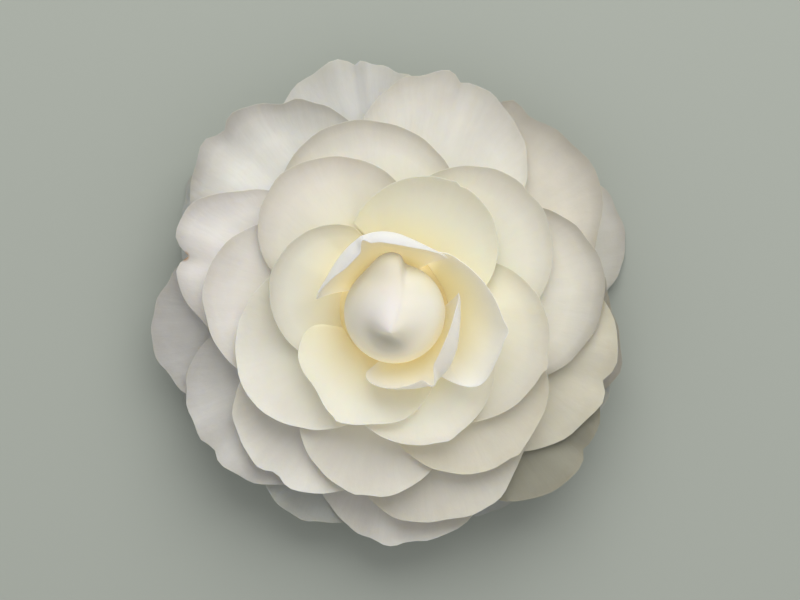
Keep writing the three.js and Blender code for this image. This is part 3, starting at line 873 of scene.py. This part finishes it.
def petal_material(name, tone, rim):
    shader = Shader(name, Roughness=0.55, Sheen_Weight=0.15, Subsurface_Weight=PETAL_GLOW,
                    Subsurface_Radius=(1.0, 0.85, 0.55), Subsurface_Scale=GLOW_DEPTH * MM,
                    Specular_IOR_Level=0.35)
    share = shader.math("DIVIDE", shader.distance(AXIS_X, AXIS_Y), COLOR_REACH)
    # The look's tone, partly the petal's own and partly painted light and shade
    toned = [(place, tuple(np.minimum(np.multiply(color, tone), BRIGHTEST))) for place, color in PETAL_COLORS]
    color = shader.ramp(share, toned)
    # Painted shade: darker deep in the pile, where the petals above keep the light off
    level = shader.math("DIVIDE", shader.height(), SHADE_HEIGHT)
    color = shader.mixed(1.0, color, shader.ramp(level, DEEP_PAINTED_SHADES), "MULTIPLY")
    growth = shader.math("MULTIPLY", shader.math("SUBTRACT", share, GROWTH_START), GROWTH_RATE, clamp=True)
    # Painted shade along the rim and the sides of the blade
    color = veined(shader, painted_rim_shade(shader, color, rim), growth)
    if name == NICKED_LOOK:
        far = shader.math("DIVIDE", shader.distance(*NICK_PLACE), 2 * NICK_SIZE)
        nick = shader.ramp(far, [(0.35, (0.8, 0.8, 0.8)), (0.6, BLACK)])
        color = shader.mixed(nick, color, NICK_COLOR)
    shader.link(color, shader.main.inputs["Base Color"])
    # A painted glow: emission that lightens the petals at the front of the heart
    lit = shader.math("DIVIDE", shader.distance(*PAINTED_GLOW_PLACE), COLOR_REACH)
    shader.glow(shader.ramp(lit, PAINTED_GLOW_COLORS))
    return shader.material


def inner_petal_material(name, deep_glow, rim_glow):
    shader = Shader(name, Roughness=0.5, Sheen_Weight=0.1, Subsurface_Weight=1.0,
                    Subsurface_Radius=(1.0, 0.9, 0.65), Subsurface_Scale=INNER_GLOW_DEPTH * MM,
                    Specular_IOR_Level=0.35)
    _, along, _ = shader.parts(shader.blade())
    # Yellow towards the root, partly the petal's own and partly painted light thrown about in the throat
    color = shader.ramp(along, [(0.1, (0.92, 0.83, 0.58)), (0.35, (0.91, 0.855, 0.67)),
                                (0.6, (0.91, 0.875, 0.755)), (0.85, (0.91, 0.885, 0.815))])
    shader.link(veined(shader, color, INNER_GROWTH), shader.main.inputs["Base Color"])
    # Painted glow: emission for the light that comes through the petal
    glow = [(0.05, (0.07, 0.055, 0.03)), (0.3, deep_glow), (0.8, rim_glow)]
    shader.glow(shader.ramp(along, glow))
    return shader.material


def heart_material():
    shader = Shader("heart", Roughness=0.42, Sheen_Weight=0.1, Subsurface_Weight=0.7,
                    Subsurface_Radius=(1.0, 0.8, 0.45), Subsurface_Scale=HEART_GLOW_DEPTH * MM,
                    Specular_IOR_Level=0.4)
    on_sheet_share, dented_share, _ = shader.parts(shader.blade())
    _, y, _ = shader.parts(shader.place())
    front = (AXIS_Y + HEART_PLACE[1] - HEART_RADIUS) * MM
    back = shader.math("DIVIDE", shader.math("SUBTRACT", y, front), 2 * HEART_RADIUS * MM)
    color = heart_color(shader, on_sheet_share, dented_share, back)
    cloud = shader.noise(shader.place(), HEART_CLOUDS, 2.0)
    shade = shader.ramp(cloud, [(0.3, (0.97, 0.97, 0.95)), (0.7, WHITE)])
    shader.bump(shader.noise(shader.place(), HEART_GRAIN, 3.0), 0.15, 0.1 * MM)
    shader.link(shader.mixed(1.0, color, shade, "MULTIPLY"), shader.main.inputs["Base Color"])
    shader.glow(heart_glow(shader, on_sheet_share, dented_share, back))
    return shader.material


def heart_color(shader, on_sheet_share, dented_share, back):
    """Cream that pales upwards, its yellow low down partly its own and partly painted light thrown up from
    the throat; duller on the sheet, with painted shade in the dent, and warmer at the back.
    """
    above = shader.math("SUBTRACT", shader.height(), HEART_COLOR_FOOT)
    level = shader.math("DIVIDE", above, HEART_COLOR_TOP - HEART_COLOR_FOOT)
    ball = shader.ramp(level, [(0.2, (0.88, 0.74, 0.44)), (0.5, (0.9, 0.83, 0.63)),
                               (0.75, (0.89, 0.855, 0.76)), (0.95, (0.85, 0.82, 0.745))])
    sheet = shader.ramp(level, [(0.2, (0.84, 0.7, 0.42)), (0.5, (0.85, 0.78, 0.62)),
                                (0.75, (0.82, 0.78, 0.68)), (0.95, (0.835, 0.8, 0.79))])
    color = shader.mixed(on_sheet_share, ball, sheet)
    # Painted shade in the dent under the beak
    color = shader.mixed(shader.math("MULTIPLY", dented_share, DENT_SHADE_SHARE), color, DENT_PAINTED_SHADE)
    warmer = shader.ramp(back, [(0.6, WHITE), (0.8, (0.97, 0.955, 0.9)),
                                (0.93, (0.93, 0.91, 0.83)), (1.0, (0.93, 0.9, 0.8))])
    return shader.mixed(1.0, color, warmer, "MULTIPLY")


def heart_glow(shader, on_sheet_share, dented_share, back):
    """A painted glow for the light that comes through from the front, less of it on the sheet and none in the
    dent.
    """
    ball = shader.ramp(back, [(0.0, (0.26, 0.21, 0.12)), (0.1, (0.2, 0.17, 0.095)),
                              (0.22, (0.19, 0.16, 0.095)), (0.45, (0.095, 0.09, 0.07)),
                              (0.7, BLACK)])
    sheet = shader.ramp(back, [(0.0, (0.2, 0.15, 0.08)), (0.1, (0.12, 0.1, 0.06)),
                               (0.25, (0.06, 0.05, 0.034)), (0.45, (0.04, 0.038, 0.03)),
                               (0.7, BLACK)])
    glow = shader.mixed(on_sheet_share, ball, sheet)
    return shader.mixed(shader.math("MULTIPLY", dented_share, 2.0, clamp=True), glow, BLACK)


def plain_material(name, dark, light, scale, bump, **values):
    """Spots of a dark and a light tone, with bumps in millimetres."""
    shader = Shader(name, **values)
    spots = shader.noise(shader.place(), scale, 4.0)
    shader.link(shader.ramp(spots, [(0.3, dark), (0.7, light)]), shader.main.inputs["Base Color"])
    shader.bump(spots, 0.5, bump * MM)
    return shader.material


def dress(piece, material, node):
    piece.data.materials.append(material)
    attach(piece, BODY)
    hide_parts(node)


def build_pile():
    looks = {look: petal_material(f"petal_{look}", *values) for look, values in TONES_AND_PAINTED_LIGHT.items()}
    rng = np.random.default_rng(SEED)
    for number, (petal, layers, rims) in enumerate(stack_petals(), 1):
        surface = pile_surface(number, petal, layers, rims, rng)
        piece = blade(f"petal_{number:02d}", surface, PETAL_ROWS, PETAL_COLUMNS)
        dress(piece, looks[PETAL_LOOKS.get(number, "plain")], "petals")


def build_cups():
    for number, cup in enumerate(CUPS, 1):
        name = f"inner_petal_{number}"
        piece = blade(name, cup_surface(cup), CUP_ROWS, CUP_COLUMNS)
        dress(piece, inner_petal_material(name, *cup["glow"]), "petals")


def build_receptacle():
    # The receptacle's emission is a painted glow for the light that comes through the petals into the throat.
    look = plain_material("receptacle", (0.85, 0.68, 0.32), (0.92, 0.78, 0.42), scale=300.0, bump=0.1,
                          Roughness=0.6, Emission_Color=(0.06, 0.05, 0.028, 1),
                          Emission_Strength=1.0)
    dress(turned("receptacle", RECEPTACLE, RECEPTACLE_SIDES), look, "petals")


def build_heart():
    dress(heart_mesh(), heart_material(), "heart_bud")


def build_calyx():
    look = plain_material("sepal", (0.15, 0.2, 0.05), (0.26, 0.32, 0.12), scale=400.0, bump=0.1,
                          Roughness=0.6)
    dress(turned("calyx_cup", CALYX, CALYX_SIDES), look, "calyx")
    for k in range(SEPALS):
        surface = sepal_surface(360 * k / SEPALS, SEPAL_STEP * (k % 2))
        piece = blade(f"sepal_{k + 1}", surface, SEPAL_ROWS, SEPAL_COLUMNS)
        dress(piece, look, "calyx")


def build_stalk():
    look = plain_material("stalk", (0.12, 0.07, 0.03), (0.3, 0.2, 0.1), scale=500.0, bump=0.2,
                          Roughness=0.8)
    stub = [(0, STALK_CUT), (STALK_RADIUS, STALK_CUT), (STALK_RADIUS, STALK_TOP), (0, STALK_TOP)]
    dress(turned("stalk_stub", stub, STALK_SIDES), look, "stalk")


# Scene

def build_key_light():
    light = bpy.data.lights.new("key", "AREA")
    light.shape = "DISK"
    light.size = KEY_SIZE
    light.energy = KEY_POWER
    light.color = KEY_COLOR
    lamp = bpy.data.objects.new("key", light)
    lamp.location = KEY_PLACE
    aim = Vector(KEY_AIM) - Vector(KEY_PLACE)
    lamp.rotation_euler = aim.to_track_quat("-Z", "Y").to_euler()
    bpy.context.scene.collection.objects.link(lamp)


def build_floor():
    mesh = bpy.data.meshes.new("floor")
    corners = [(x * FLOOR_SIZE, y * FLOOR_SIZE, 0) for x, y in ((-1, -1), (1, -1), (1, 1), (-1, 1))]
    mesh.from_pydata(corners, [], [(0, 1, 2, 3)])
    floor = bpy.data.objects.new("floor", mesh)
    bpy.context.scene.collection.objects.link(floor)
    shader = Shader("floor", Base_Color=FLOOR_COLOR, Roughness=0.8)
    mesh.materials.append(shader.material)


def build_sky():
    world = bpy.data.worlds.new("sky")
    bpy.context.scene.world = world
    world.use_nodes = True
    background = world.node_tree.nodes["Background"]
    background.inputs["Color"].default_value = SKY_COLOR
    background.inputs["Strength"].default_value = SKY_STRENGTH


def build_camera():
    data = bpy.data.cameras.new("camera")
    data.sensor_width = SENSOR_WIDTH
    data.lens = SENSOR_WIDTH * (CAMERA_HEIGHT - FIELD_HEIGHT_ABOVE_FLOOR) / FIELD_WIDTH
    data.clip_start = CLIP_START * MM
    camera = bpy.data.objects.new("camera", data)
    camera.location = (CAMERA_X * MM, CAMERA_Y * MM, CAMERA_HEIGHT * MM)
    bpy.context.scene.collection.objects.link(camera)
    bpy.context.scene.camera = camera


build_pile()
build_cups()
build_receptacle()
build_heart()
build_calyx()
build_stalk()
build_floor()
build_sky()
build_key_light()
build_camera()
bpy.context.scene.view_settings.view_transform = "Standard"
